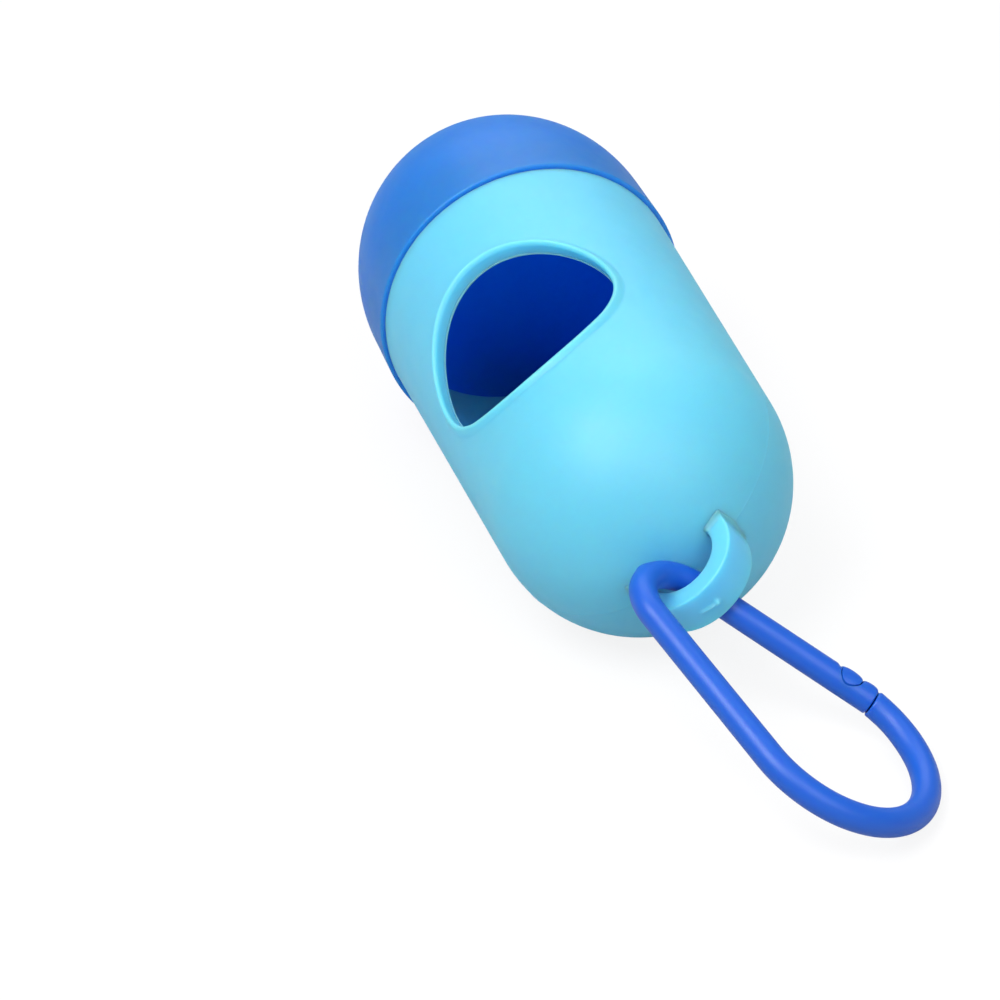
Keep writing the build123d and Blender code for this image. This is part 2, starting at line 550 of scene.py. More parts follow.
@dataclass
class Case:
    """The case: a round-tailed shell with a neck for the cap, and a window with a raised lip.

    Sizes and places along the case are in mm, and the last nine fields count rows and columns.

    Attributes:
        axes: The case's axes.
        plastic: What it is made of.
        tail_radius: Outside radius of the round tail.
        tail_bore: Its inside radius.
        mouth_at: Where the body ends, at the shoulder that the cap's rim meets.
        mouth_radius: The body's outside radius there.
        shoulder_edge: Radius of the shoulder's rounded edge.
        neck_end: Where the neck ends.
        neck_radius: Its outside radius.
        neck_bore: Its inside radius.
        neck_root: How far from the corner at its root the next rings lie, out and along.
        neck_lead: Length of the chamfer at its end.
        lead_depth: The chamfer's depth in the ring before the neck's end, and at the end.
        lead_rings: How far from the chamfer's two ends the rings on it lie.
        bore_edge: Chamfer of the neck's inner edge.
        window: The window's outline.
        wall_lean: How far the top of the window's wall lies outside its outline.
        wall_foot: How far the wall's foot lies outside it.
        lip: The lip's outer outline.
        lip_height: How far it stands out of the body.
        lip_top: Share of its width over which it stays at that height.
        lip_least: The least width that it is taken to have.
        lip_edge_tail: Radius of its inner edge towards the tail.
        lip_edge_cap: Radius of that edge towards the cap and at the corners.
        lip_edge_turn: Between which values of the outward direction's x the radius changes.
        flash_width: Width of the thin flash round the window's foot.
        flash_thickness: Its thickness.
        flash_bevel: Bevel of its two edges.
        seam_height: Height of the ridges that the mould's two halves leave.
        seam_width: Their width.
        seam_fade: Radius of the body below which they fade out.
        seam_columns: Distances from a seam of the extra columns beside it.
        patch_growth: Exponent by which the rows round the window spread out.
        columns: Even columns round the body.
        window_columns: How many of them the gap for the window takes to each side.
        tail_rows: Rows of the round tail's outside.
        bore_rows: Rows of its inside.
        mouth_rows: Rows of the inside from the neck's end to the window.
        flank_rows: Rows of the outside's flank.
        window_first: Which of these is the first in the gap for the window.
        window_rows: How many of them the gap takes.
        patch_rows: Rows on the body from the gap's edge to the window.
    """

    axes: Axes
    plastic: bpy.types.Material
    tail_radius: float = 18.5
    tail_bore: float = 17.25
    mouth_at: float = 44.17
    mouth_radius: float = 20.20
    shoulder_edge: float = 0.20
    neck_end: float = 51.67
    neck_radius: float = 19.51
    neck_bore: float = 18.56
    neck_root: Pair = (0.15, 0.12)
    neck_lead: float = 0.50
    lead_depth: Pair = (0.46, 0.52)
    lead_rings: Pair = (0.06, 0.05)
    bore_edge: float = 0.10
    window: Lens = Lens(start=4.79, length=25.12, cap_arc=12.82, tail_arc=13.86, corner=3.0)
    wall_lean: float = 0.14
    wall_foot: float = 0.02
    lip: Lens = Lens(start=3.39, length=27.84, cap_arc=14.14, tail_arc=15.36, corner=3.0)
    lip_height: float = 0.42
    lip_top: float = 0.42
    lip_least: float = 0.1
    lip_edge_tail: float = 0.42
    lip_edge_cap: float = 0.86
    lip_edge_turn: Pair = (-0.75, -0.05)
    flash_width: float = 0.16
    flash_thickness: float = 0.22
    flash_bevel: float = 0.03
    seam_height: float = 0.05
    seam_width: float = 0.11
    seam_fade: float = 5.0
    seam_columns: tuple[float, ...] = (0.06, 0.12, 0.2, 0.34)
    patch_growth: float = 2.8
    columns: int = 192
    window_columns: int = 32
    tail_rows: int = 46
    bore_rows: int = 40
    mouth_rows: int = 28
    flank_rows: int = 68
    window_first: int = 2
    window_rows: int = 50
    patch_rows: int = 46

    # ---- profile of the body

    @staticmethod
    def taper(round_radius: float, end_radius: float, length: float) -> float:
        """Angle by which a flank tapers that leaves the round tail without a crease."""
        return acos(round_radius / hypot(length, end_radius)) - atan2(length, end_radius)

    @property
    def outside_lean(self) -> float:
        """Angle by which the outside flank tapers."""
        return self.taper(self.tail_radius, self.mouth_radius, self.mouth_at)

    @property
    def inside_lean(self) -> float:
        """Angle by which the inside flank tapers."""
        return self.taper(self.tail_bore, self.neck_bore, self.neck_end)

    def outer(self, x: np.ndarray) -> np.ndarray:
        """Outside radius along the flank: a straight taper from the round tail to the mouth."""
        return self.mouth_radius - (self.mouth_at - x) * np.tan(self.outside_lean)

    def inner(self, x: np.ndarray) -> np.ndarray:
        """Inside radius along the flank: a straight taper from the round bore to the neck's."""
        return self.neck_bore - (self.neck_end - x) * np.tan(self.inside_lean)

    def flank_stations(self) -> np.ndarray:
        """Places along the outside flank, from where the round tail ends to near the mouth."""
        start = -self.tail_radius * sin(self.outside_lean)
        return np.linspace(start, self.mouth_at - self.shoulder_edge, self.flank_rows + 1)

    def outside_profile(self) -> tuple[np.ndarray, int]:
        """Profile of the outside: an arc, the straight flank, the shoulder and the neck.

        Returns:
            Rows of place and radius from the tail's pole to the neck's end, and the number of the
            row at which the flank starts.
        """
        stations = self.flank_stations()
        round_radii = (-self.tail_radius, self.tail_radius)
        tail_end = 90 - degrees(self.outside_lean)
        tail = arc((0, 0), round_radii, 0, tail_end, self.tail_rows)[1:-1]
        flank = np.stack([stations, self.outer(stations)], axis=-1)
        edge = self.shoulder_edge
        # The shoulder's arc leaves out its first point, at 90 degrees, where the flank ends.
        shoulder = arc((self.mouth_at - edge, self.mouth_radius - edge), (edge, edge), 80, 0, 4)
        root, end, radius = self.mouth_at, self.neck_end, self.neck_radius
        lead_at = end - self.neck_lead
        out, along = self.neck_root
        first, last = self.lead_rings
        before, depth = self.lead_depth
        neck = [
            run((root, radius + out), (root, radius), 1),
            run((root + along, radius), (lead_at, radius), 12),
            run((lead_at + first, radius - first), (end - last, radius - before), 2),
            run((end, radius - depth), (end, self.neck_bore + self.bore_edge), 2),
        ]
        return np.concatenate([tail, flank, shoulder, *neck]), len(tail)

    def inside_profile(self) -> tuple[np.ndarray, int]:
        """Profile of the inside: the flank, with the outside's rows by the window, and an arc.

        Returns:
            Rows of place and radius from the neck's end to the tail's pole, and the number of the
            row at the window's end towards the mouth.
        """
        stations = self.flank_stations()
        window_end = self.window_first + self.window_rows
        mouth_at = self.neck_end - self.bore_edge
        mouth = np.linspace(mouth_at, stations[window_end], self.mouth_rows)
        window = stations[self.window_first : window_end][::-1]
        tail_at = -self.tail_bore * sin(self.inside_lean)
        places = np.concatenate([mouth, window, np.linspace(window[-1], tail_at, 4)[1:]])
        flank = np.stack([places, self.inner(places)], axis=-1)
        round_radii = (-self.tail_bore, self.tail_bore)
        tail_start = 90 - degrees(self.inside_lean)
        tail = arc((0, 0), round_radii, tail_start, 0, self.bore_rows)[1:-1]
        return np.concatenate([flank, tail]), len(mouth) - 1

    def turns(self) -> np.ndarray:
        """Angles round the case, from the window's middle: even, with close ones at both seams.

        Returns:
            The angles in radians, in order.
        """
        even = np.arange(self.columns) * 2 * pi / self.columns
        close = np.array(self.seam_columns) / self.mouth_radius
        seams = [seam + side * close for seam in (pi / 2, 3 * pi / 2) for side in (-1, 1)]
        return np.sort(np.concatenate([even, *seams]))

    def body(self, profile: np.ndarray, turns: np.ndarray, seam: bool) -> np.ndarray:
        """Turns a profile round the case's axis, with a hair-fine ridge at the mould's two seams.

        Formula: the ridge adds to the radius a bell curve of the distance round the case from a
        quarter and from three quarters of a turn.

        Args:
            profile: Rows of place along the case and radius.
            turns: Angles round the case.
            seam: Whether the ridge is added.

        Returns:
            Points as row, column and coordinate.
        """
        place, radius = profile[:, :1], profile[:, 1:]
        off = np.minimum(np.abs(turns - pi / 2), np.abs(turns - 3 * pi / 2))
        ridge = bell(radius * off, self.seam_width) * step(radius, 0, self.seam_fade)
        return revolve(place, radius + self.seam_height * ridge * float(seam), turns)

    # ---- the window

    def lift(self, flat: np.ndarray) -> np.ndarray:
        """Height of the lip over the body, straight out from it.

        Beside the window the lip rounds over, by a quarter circle: tightly towards the tail, and
        fully towards the cap and at the corners. From there it falls in a smooth step to nothing at
        the lip's outer outline.

        Args:
            flat: Points as rows of x and y.

        Returns:
            The heights.
        """
        distance, way = self.window.distance(flat)
        past_lip = self.lip.distance(flat)[0]
        off = distance - self.wall_lean
        width = np.maximum(off - past_lip, self.lip_least)
        across = np.where(past_lip > 0, 1.0, off / width)
        turned = step(way[:, 0], *self.lip_edge_turn)
        edge = self.lip_edge_tail + (self.lip_edge_cap - self.lip_edge_tail) * turned
        inward = np.clip(edge - off, 0, edge)
        rounding = edge - np.sqrt(np.maximum(edge**2 - inward**2, 0))
        return self.lip_height * (1 - step(across, self.lip_top, 1)) - rounding

    @staticmethod
    def raised(flat: np.ndarray, radius: np.ndarray) -> np.ndarray:
        """Points with their height on a round surface: root of radius squared less y squared."""
        return np.column_stack([flat, np.sqrt(radius**2 - flat[:, 1] ** 2)])

    def window_edge(self, around: np.ndarray) -> np.ndarray:
        """Finds where straight lines from the window's middle to given points cross its outline.

        The crossing is halved in on, forty times, by the sign of the distance from the outline.

        Args:
            around: Points outside the outline, as rows of x and y.

        Returns:
            The crossings, one row for each point.
        """
        middle = np.array([self.window.start + self.window.length / 2, 0.0])
        low = np.zeros(len(around))
        high = np.ones(len(around))
        for _ in range(40):
            half = (low + high) / 2
            out = self.window.distance(middle + (around - middle) * half[:, None])[0] > 0
            high = np.where(out, half, high)
            low = np.where(out, low, half)
        return middle + (around - middle) * low[:, None]

    def window_patch(
        self, skin: Skin, outside: np.ndarray, inside: np.ndarray, points: np.ndarray
    ) -> None:
        """Fills the gap that the body grids leave round the window: lip, wall, flash and inside.

        The patch is a set of rings from the outside grid's gap to the inside's. Those on the body
        lie closer the nearer they are to the window, as the exponential function grows.

        Args:
            skin: The surface that the grids are on.
            outside: Point numbers round the outside grid's gap.
            inside: Point numbers round the inside grid's gap, in the same order.
            points: All points of the surface so far.
        """
        rim_out, rim_in = points[outside][:, :2], points[inside][:, :2]
        edge = self.window_edge(rim_out)
        way = self.window.distance(edge)[1]
        even = np.linspace(0, 1, self.patch_rows + 1)
        spread = np.expm1(even * self.patch_growth) / np.expm1(self.patch_growth)
        rows = []
        start = edge + way * self.wall_lean
        for share in spread[-2::-1]:
            flat = start + (rim_out - start) * share
            rows.append(self.raised(flat, self.outer(flat[:, 0]) + self.lift(flat)))
        top = rows[-1]
        up = np.array([0.0, 0.0, 1.0])
        foot = edge + way * self.wall_foot
        foot = self.raised(foot, self.inner(foot[:, 0])) + self.flash_thickness * up
        rows += [top + (foot - top) * share for share in (0.2, 0.4, 0.6, 0.8, 0.93, 1.0)]
        tip = edge - way * self.flash_width
        back = np.column_stack([way, np.zeros(len(way))]) * self.flash_bevel
        bottom = self.raised(tip, self.inner(tip[:, 0]))
        bevel = self.flash_bevel * up
        tip_top = bottom + self.flash_thickness * up
        rows += [tip_top + back - bevel, tip_top - 3 * bevel, bottom + 4 / 3 * bevel]
        for share in spread[0:-1:2]:
            flat = tip + (rim_in - tip) * share + back[:, :2] * (1 - share)
            rows.append(self.raised(flat, self.inner(flat[:, 0])))
        index = np.concatenate([outside[None], skin.add(np.stack(rows)), inside[None]])
        skin.span(closed(index))

    def gap(self, index: np.ndarray, first: int, last: int) -> tuple[np.ndarray, np.ndarray]:
        """The gap that a body grid leaves for the window.

        Args:
            index: The grid's point numbers, with its columns starting at one side of the gap.
            first: The gap's row nearest the tail.
            last: Its row nearest the mouth.

        Returns:
            The point numbers round the gap, and which cells of the grid stay.
        """
        width = 2 * self.window_columns
        onward = 1 if last > first else -1
        rows = np.arange(first, last, onward)
        columns = np.arange(width)
        tail_side, far_side = index[first, columns], index[rows, width]
        mouth_side, near_side = index[last, columns[::-1] + 1], index[rows[::-1] + onward, 0]
        keep = np.ones((index.shape[0] - 1, index.shape[1] - 1), bool)
        keep[min(first, last) : max(first, last), :width] = False
        return np.concatenate([tail_side, far_side, mouth_side, near_side]), keep

    def shell(self) -> bpy.types.Object:
        """Makes the whole moulded shell as one closed surface.

        Returns:
            The shell.
        """
        skin = Skin()
        turns = self.turns()
        gap_start = 2 * pi * (1 - self.window_columns / self.columns)
        rounding = 1e-6
        turns = np.roll(turns, -np.searchsorted(turns, gap_start - rounding))
        outside, flank_row = self.outside_profile()
        inside, window_row = self.inside_profile()
        outer = skin.add(self.body(outside, turns, seam=True))
        inner = skin.add(self.body(inside, turns, seam=False))
        first = flank_row + self.window_first
        outer_ring, keep_outer = self.gap(closed(outer), first, first + self.window_rows)
        last = window_row + self.window_rows
        inner_ring, keep_inner = self.gap(closed(inner), last, window_row)
        skin.span(closed(outer), keep_outer)
        skin.span(closed(inner), keep_inner)
        skin.span(closed(np.stack([outer[-1], inner[0]])))
        skin.fan(outer[0], np.array([-self.tail_radius, 0.0, 0.0]), reverse=True)
        skin.fan(inner[-1], np.array([-self.tail_bore, 0.0, 0.0]))
        self.window_patch(skin, outer_ring, inner_ring, np.concatenate(skin.points[:2]))
        return skin.build("case_shell", self.axes, self.plastic)

    def build(self) -> None:
        """Makes the shell and lets it stand for the solid case."""
        shell = self.shell()
        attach(shell, "case")
        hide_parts("case")
        log.info("case shell: %d faces", len(shell.data.polygons))


@dataclass
class TailLoop:
    """The half-round loop on the tail that the carabiner passes through.

    Lengths are in mm. The opening is narrower at the face on the window's side and widens towards
    the other face, where the rod leans against it, so that edge is also rounder.

    Attributes:
        axes: The case's axes.
        plastic: What it is made of.
        centre: Place along the case of the half circle's centre.
        near_inner: Radius of the opening at the face on the window's side.
        far_inner: Its radius at the other face, in the legs.
        far_inner_middle: The same in the middle of the bow.
        outer: Radius of the outside.
        width: The bar's width across the loop's plane.
        crisp_edge: Radius of the two outer edges.
        near_edge: Radius of the opening's edge on the window's side.
        far_edge: Radius of its other edge.
        tail_radius: Outside radius of the tail that it stands on.
        tail_bore: The tail's inside radius.
        leg_clear: How far outside the bore the legs end, hidden in the tail's wall.
        foot_fillet: Radius of the fillet at its feet.
        foot_from: Where the fillet starts, along the case from the centre.
        sprue_at: Middle of the mark of the mould's sprue, round the bow and across it.
        sprue_tail: Where the thin trail from the mark ends.
        sprue_height: Height of the mark.
        sprue_width: Its half width.
        trail_width: The trail's half width.
        trail_share: Height of the trail at its start and end, as a share of the mark's.
        face_edge: How far inside the outer face the mark starts to rise, and is at its height.
        bow_rows: Number of rings round the bow.
        leg_rows: Number of rings along each leg.
    """

    axes: Axes
    plastic: bpy.types.Material
    centre: float = -18.49
    near_inner: float = 4.45
    far_inner: float = 4.95
    far_inner_middle: float = 5.42
    outer: float = 6.88
    width: float = 4.90
    crisp_edge: float = 0.22
    near_edge: float = 0.32
    far_edge: float = 0.80
    tail_radius: float = Case.tail_radius
    tail_bore: float = Case.tail_bore
    leg_clear: float = 0.4
    foot_fillet: float = 0.55
    foot_from: float = 0.2
    sprue_at: Pair = (11.51, -0.31)
    sprue_tail: Pair = (9.48, -0.12)
    sprue_height: float = 0.52
    sprue_width: float = 0.36
    trail_width: float = 0.20
    trail_share: Pair = (0.80, 0.35)
    face_edge: Pair = (0.05, 0.01)
    bow_rows: int = 150
    leg_rows: int = 26

    def section(self, far_inner: float) -> np.ndarray:
        """The bar's section: an arc at each corner, and straight runs between them.

        Args:
            far_inner: Radius of the opening at the far face.

        Returns:
            Rows of place out from the loop's centre and across its plane.
        """
        half, outer = self.width / 2, self.outer
        crisp, near, far = self.crisp_edge, self.near_edge, self.far_edge
        inner_top = (self.near_inner, half - near)
        inner_low = (far_inner, -half + far)
        parts = [
            arc((outer - crisp, half - crisp), (crisp, crisp), 0, 90, 5),
            run((outer - crisp, half), (self.near_inner + near, half), 8)[1:-1],
            arc((self.near_inner + near, half - near), (near, near), 90, 180, 7),
            run(inner_top, inner_low, 14)[1:-1],
            arc((far_inner + far, -half + far), (far, far), 180, 270, 9),
            arc((outer - crisp, -half + crisp), (crisp, crisp), 270, 360, 5),
            run((outer, -half + crisp), (outer, half - crisp), 40)[1:-1],
        ]
        return np.concatenate(parts)

    def sprue_mark(self, turn: np.ndarray, section: np.ndarray) -> np.ndarray:
        """Height of the mark that the mould's sprue left on the bow's outer face.

        Formula: a round stub and a thin trail from it, both bell curves of the distance on the
        face. Off the outer face both fall to nothing.

        Args:
            turn: Angle round the bow of each ring.
            section: Points of the section.

        Returns:
            The height at each ring and point.
        """
        around = np.broadcast_arrays(turn[:, None] * self.outer, section[None, :, 1])
        place = np.stack(around, axis=-1)
        start, end = np.array(self.sprue_at), np.array(self.sprue_tail)
        along = end - start
        share = np.clip(((place - start) @ along) / (along @ along), 0, 1)
        off_trail = np.linalg.norm(place - start - share[..., None] * along, axis=-1)
        stub = bell(np.linalg.norm(place - start, axis=-1), self.sprue_width)
        high, low = self.trail_share
        trail = bell(off_trail, self.trail_width) * (high + (low - high) * share)
        foot, full = self.face_edge
        on_face = step(section[:, 0], self.outer - foot, self.outer - full)
        return self.sprue_height * np.maximum(stub, trail) * on_face

    def rings(self) -> np.ndarray:
        """Carries the section along one leg, round the half circle and along the other leg.

        Formula: in the bow, x is the centre's less the radius times the sine of the angle, and y is
        the radius times its cosine. The legs run on straight along x into the tail's wall. The far
        side of the opening widens with the square of the sine.

        Returns:
            Points as ring, place round the ring, and coordinate.
        """
        legs, middle = self.section(self.far_inner), self.section(self.far_inner_middle)
        bore_at = -self.tail_bore * cos(asin(self.outer / self.tail_bore))
        leg_end = bore_at - self.centre - self.leg_clear
        leg = np.linspace(leg_end, 0, self.leg_rows, endpoint=False)
        angle = np.linspace(0, pi, self.bow_rows + 1)
        along = np.concatenate([leg, np.zeros(len(angle)), leg[::-1]])[:, None]
        turn = np.concatenate([np.zeros(len(leg)), angle, np.full(len(leg), pi)])
        sine, cosine = np.sin(turn)[:, None], np.cos(turn)[:, None]
        share = sine**2
        radius = legs[:, 0] * (1 - share) + middle[:, 0] * share + self.sprue_mark(turn, legs)
        across = np.broadcast_to(legs[:, 1], radius.shape)
        return np.stack([self.centre + along - sine * radius, cosine * radius, across], axis=-1)

    def flare(self, rings: np.ndarray) -> np.ndarray:
        """Lets the bar's feet widen into the tail, as a fillet would.

        Formula: a point at a height t over the tail moves out from the bar's middle by the fillet's
        radius less the root of its square less that of (radius - t).

        Args:
            rings: Points as ring, place round the ring, and coordinate.

        Returns:
            The moved points, in the same order.
        """
        middle = rings.mean(axis=1, keepdims=True)
        height = np.linalg.norm(rings, axis=-1, keepdims=True) - self.tail_radius
        fillet = self.foot_fillet
        near = np.clip(fillet - height, 0, fillet)
        out = fillet - np.sqrt(np.maximum(fillet**2 - near**2, 0))
        out = np.where(rings[..., :1] > self.centre + self.foot_from, out, 0)
        return rings + unit(rings - middle) * out

    def build(self) -> None:
        """Makes the loop, which rides on the case."""
        skin = Skin()
        skin.tube(self.flare(self.rings()))
        loop = skin.build("tail_loop", self.axes, self.plastic)
        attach(loop, "case")
        log.info("tail loop: %d faces", len(loop.data.polygons))


# ---------------------------------------------------------------- the cap


@dataclass
class Cap:
    """The push-on cap: a straight skirt and a half-ellipse dome.

    Attributes:
        axes: The case's axes.
        plastic: What it is made of.
        rim_at: Place of its rim along the case, in mm, as all of these but the last.
        radius: Outside radius.
        wall: Thickness of the wall.
        skirt: Length of the skirt.
        dome: Length of the dome.
        rim_edge: Radius of the rim's outer edge.
        bore_lead: Chamfer of its inner edge.
        columns: Number of columns round the axis.
    """

    axes: Axes
    plastic: bpy.types.Material
    rim_at: float = Case.mouth_at
    radius: float = 20.81
    wall: float = 1.25
    skirt: float = 9.23
    dome: float = 23.70
    rim_edge: float = 0.30
    bore_lead: float = 0.20
    columns: int = 192

    def profile(self) -> np.ndarray:
        """The cap's profile, down the outside to the rim and back up the inside.

        Returns:
            Rows of place along the axis and radius, without the two poles.
        """
        rim, dome_at = self.rim_at, self.rim_at + self.skirt
        radius, bore = self.radius, self.radius - self.wall
        edge, lead = self.rim_edge, self.bore_lead
        parts = [
            arc((dome_at, 0), (self.dome, radius), 0, 90, 64),
            run((dome_at, radius), (rim + edge, radius), 16),
            arc((rim + edge, radius - edge), (edge, edge), 90, 180, 6),
            run((rim, radius - edge), (rim, bore + lead), 2),
            run((rim, bore + lead), (rim + lead, bore), 2),
            run((rim + lead, bore), (dome_at, bore), 14),
            arc((dome_at, 0), (self.dome - self.wall, bore), 90, 0, 60)[:-1],
        ]
        return np.concatenate([part[1:] for part in parts])

    def build(self) -> None:
        """Turns the profile round the axis and lets it stand for the solid cap."""
        turns = np.arange(self.columns) * 2 * pi / self.columns
        profile = self.profile()
        skin = Skin()
        index = skin.add(revolve(profile[:, :1], profile[:, 1:], turns))
        skin.span(closed(index))
        top = self.rim_at + self.skirt + self.dome
        skin.fan(index[0], np.array([top, 0.0, 0.0]), reverse=True)
        skin.fan(index[-1], np.array([top - self.wall, 0.0, 0.0]))
        cap = skin.build("cap_shell", self.axes, self.plastic)
        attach(cap, "cap")
        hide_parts("cap")
        log.info("cap: %d faces", len(cap.data.polygons))


# ---------------------------------------------------------------- the carabiner


class Side(Enum):
    """Which side of the rod is cut away to leave a hook: out of the loop, or into it."""

    OUT_OF_LOOP = 1
    INTO_LOOP = -1


@dataclass
class Carabiner:
    """A pear-shaped loop of round rod with a springy gate that hooks into the frame.

    Lengths are in mm. The two hooks are worked out on the strand's axes, which start where the gate
    ends on the wide arc: x runs along the strand towards the wide arc and y out of the loop. The
    frame's hook is a nose that reaches down into the gate, and the gate's is a round head past it.

    Attributes:
        axes: The carabiner's axes.
        plastic: What it is made of.
        rod_radius: Radius of the rod.
        narrow_arc: Radius of the narrow arc's centre line.
        wide_arc: Radius of the wide arc's centre line.
        spacing: Distance between the two arcs' centres.
        gate_root: Where the gate flexes, along its strand from the narrow arc.
        gate_end: Where the gate ends on the wide arc, in degrees from the loop's long axis.
        gate_tilt: How far the gate's end lies out of the plain pear shape.
        tilt_fade: Over how many degrees of the wide arc this fades out.
        arc_from: How many degrees past the gate's end the plain rod starts.
        arc_turn: From how many degrees past it the rings turn to face the arc, and to how many.
        flex: Reach of the bend to each side of the gate's root.
        seam_at: Where the frame's mesh ends and the gate's starts, along the strand.
        slit: Width of the slit between the gate's tip and the frame.
        slit_edge: Radius of the rounded edges beside it.
        slit_wall: Corners of its far wall, as place past the slit and height.
        hair: Width of the gap round the nose and over the head.
        gate_clear: How far over the rod the gate's outline runs where nothing is cut.
        frame_clear: How far under the rod the frame's does.
        tip_foot: Heights of the last two rows, which square off the gate's tip.
        row_gap: How far two parts of an outline stay apart, so that no two rows coincide.
        close_rows: Where the strand's wide rows end and close ones start, before the pocket.
        whole_rod: Places past the slit where its wall ends, and where the first whole rings of
            the rod start and end.
        head_at: Centre of the head's outline, an arc of an ellipse.
        head_radii: Its half axes.
        head_turn: First and last angle of that arc, in degrees.
        nose_at: Centre of the nose's round floor, which is two arcs of ellipses.
        nose_left: Half axis of the floor towards the gate's root.
        nose_right: Half axis towards the head.
        nose_depth: How far the floor lies under the centre.
        nose_root: Height at which the nose's left wall starts.
        nose_lean: How far that wall leans.
        nose_turn: Last angle of the floor, in degrees.
        nose_crown: Height of the swell over the nose.
        nose_swell: How far that swell reaches past the nose's left and right wall.
        head_crown: Height of the swell over the head.
        crown_turn: Heights on a ring, as shares of its radius, between which a swell grows.
        notch: Depth of the notches beside the swells.
        notch_before: Where the left notch starts and is at its depth, before the nose's swell.
        notch_past: Where the right notch starts to end and has ended, past the gate's tip.
        nub_height: Height of the nub inside the narrow arc.
        nub_length: Its half length along the rod.
        nub_angle: Its half width round the rod, in radians.
        columns: Number of points round the rod.
        flat_columns: How many of them lie on the side that a hook's cut flattens.
        flat_angle: Half the angle that these span where nothing is cut, in radians.
    """

    axes: Axes
    plastic: bpy.types.Material
    rod_radius: float = 1.62
    narrow_arc: float = 5.60
    wide_arc: float = 11.60
    spacing: float = 22.20
    gate_root: float = 4.50
    gate_end: float = 94.5
    gate_tilt: float = 0.12
    tilt_fade: float = 35
    arc_from: float = 8
    arc_turn: Pair = (5, 30)
    flex: float = 3.0
    seam_at: float = 1.0
    slit: float = 0.15
    slit_edge: float = 0.18
    slit_wall: tuple[Pair, ...] = ((-0.03, 0.30), (0.03, -1.30), (0.05, -1.50))
    hair: float = 0.16
    gate_clear: float = 0.7
    frame_clear: float = 0.6
    tip_foot: Pair = (-0.20, -0.21)
    row_gap: float = 0.05
    close_rows: Pair = (0.8, 0.7)
    whole_rod: Triple = (0.12, 0.20, 0.75)
    head_at: Pair = (-1.37, 0.35)
    head_radii: Pair = (1.00, 0.85)
    head_turn: Pair = (175, 8)
    nose_at: Pair = (-4.00, 0.10)
    nose_left: float = 1.12
    nose_right: float = 1.42
    nose_depth: float = 1.00
    nose_root: float = 1.75
    nose_lean: float = 0.26
    nose_turn: float = 340
    nose_crown: float = 0.36
    nose_swell: Pair = (0.24, 0.10)
    head_crown: float = 0.27
    crown_turn: Pair = (-0.35, 0.45)
    notch: float = 0.17
    notch_before: Pair = (0.6, 0.1)
    notch_past: Pair = (0.1, 0.5)
    nub_height: float = 0.22
    nub_length: float = 0.75
    nub_angle: float = 0.42
    columns: int = 48
    flat_columns: int = 15
    flat_angle: float = 0.45

    # ---- the strand's axes

    @property
    def lean(self) -> float:
        """Angle between the strands and the loop's long axis."""
        return strand_lean(self.narrow_arc, self.wide_arc, self.spacing)

    @property
    def gate_tip(self) -> float:
        """Place along the strand of the gate's tip, the right end of its head."""
        return self.head_at[0] + self.head_radii[0]

    def strand_origin(self) -> np.ndarray:
        """Where the gate ends on the wide arc's centre line."""
        angle = radians(self.gate_end)
        return np.array([self.spacing + self.wide_arc * cos(angle), self.wide_arc * sin(angle)])

    def strand_axes(self) -> tuple[np.ndarray, np.ndarray]:
        """Directions along the strand towards the wide arc, and out of the loop."""
        sine, cosine = sin(self.lean), cos(self.lean)
        return np.array([cosine, sine]), np.array([-sine, cosine])

    def from_strand(self, points: np.ndarray) -> np.ndarray:
        """Turns points on the strand's axes to points on the carabiner's.

        Args:
            points: An array whose last axis holds x, y and z.

        Returns:
            The points in the array's own shape.
        """
        along, out = self.strand_axes()
        flat = self.strand_origin() + points[..., :1] * along + points[..., 1:2] * out
        return np.concatenate([flat, points[..., 2:]], axis=-1)

    def gate_length(self) -> float:
        """Length of the strand from where it flexes to the gate's end.

        Returns:
            The length in mm.
        """
        x_axis, y_axis = self.strand_axes()
        root = self.narrow_arc * y_axis + self.gate_root * x_axis
        return float((self.strand_origin() - root) @ x_axis)

    def centre_line(self, along: np.ndarray, side: Side) -> np.ndarray:
        """Height of the rod's centre line over the strand's x axis.

        The gate runs on straight, tilted outwards a little from its root. The frame follows the
        wide arc: radius less the root of its square less that of the place past its start.

        Args:
            along: Places along the strand.
            side: The side that is cut away, which tells the gate from the frame.

        Returns:
            The height at each place.
        """
        x_axis, y_axis = self.strand_axes()
        to_arc = np.array([self.spacing, 0.0]) - self.strand_origin()
        past = np.maximum(along - to_arc @ x_axis, 0)
        bend = self.wide_arc - np.sqrt(self.wide_arc**2 - past**2)
        tilt = self.gate_tilt * np.maximum(1 + np.minimum(along, 0) / self.gate_length(), 0)
        return to_arc @ y_axis + self.wide_arc + tilt - (bend if side is Side.INTO_LOOP else 0)

    # ---- the two hooks

    def ring_shares(self) -> tuple[np.ndarray, np.ndarray]:
        """Shares of the way over a ring's flat side, from -1 to 1, and over its rest, 0 to 1."""
        rest = np.linspace(0, 1, self.columns - self.flat_columns + 2)[1:-1]
        return np.linspace(-1, 1, self.flat_columns), rest

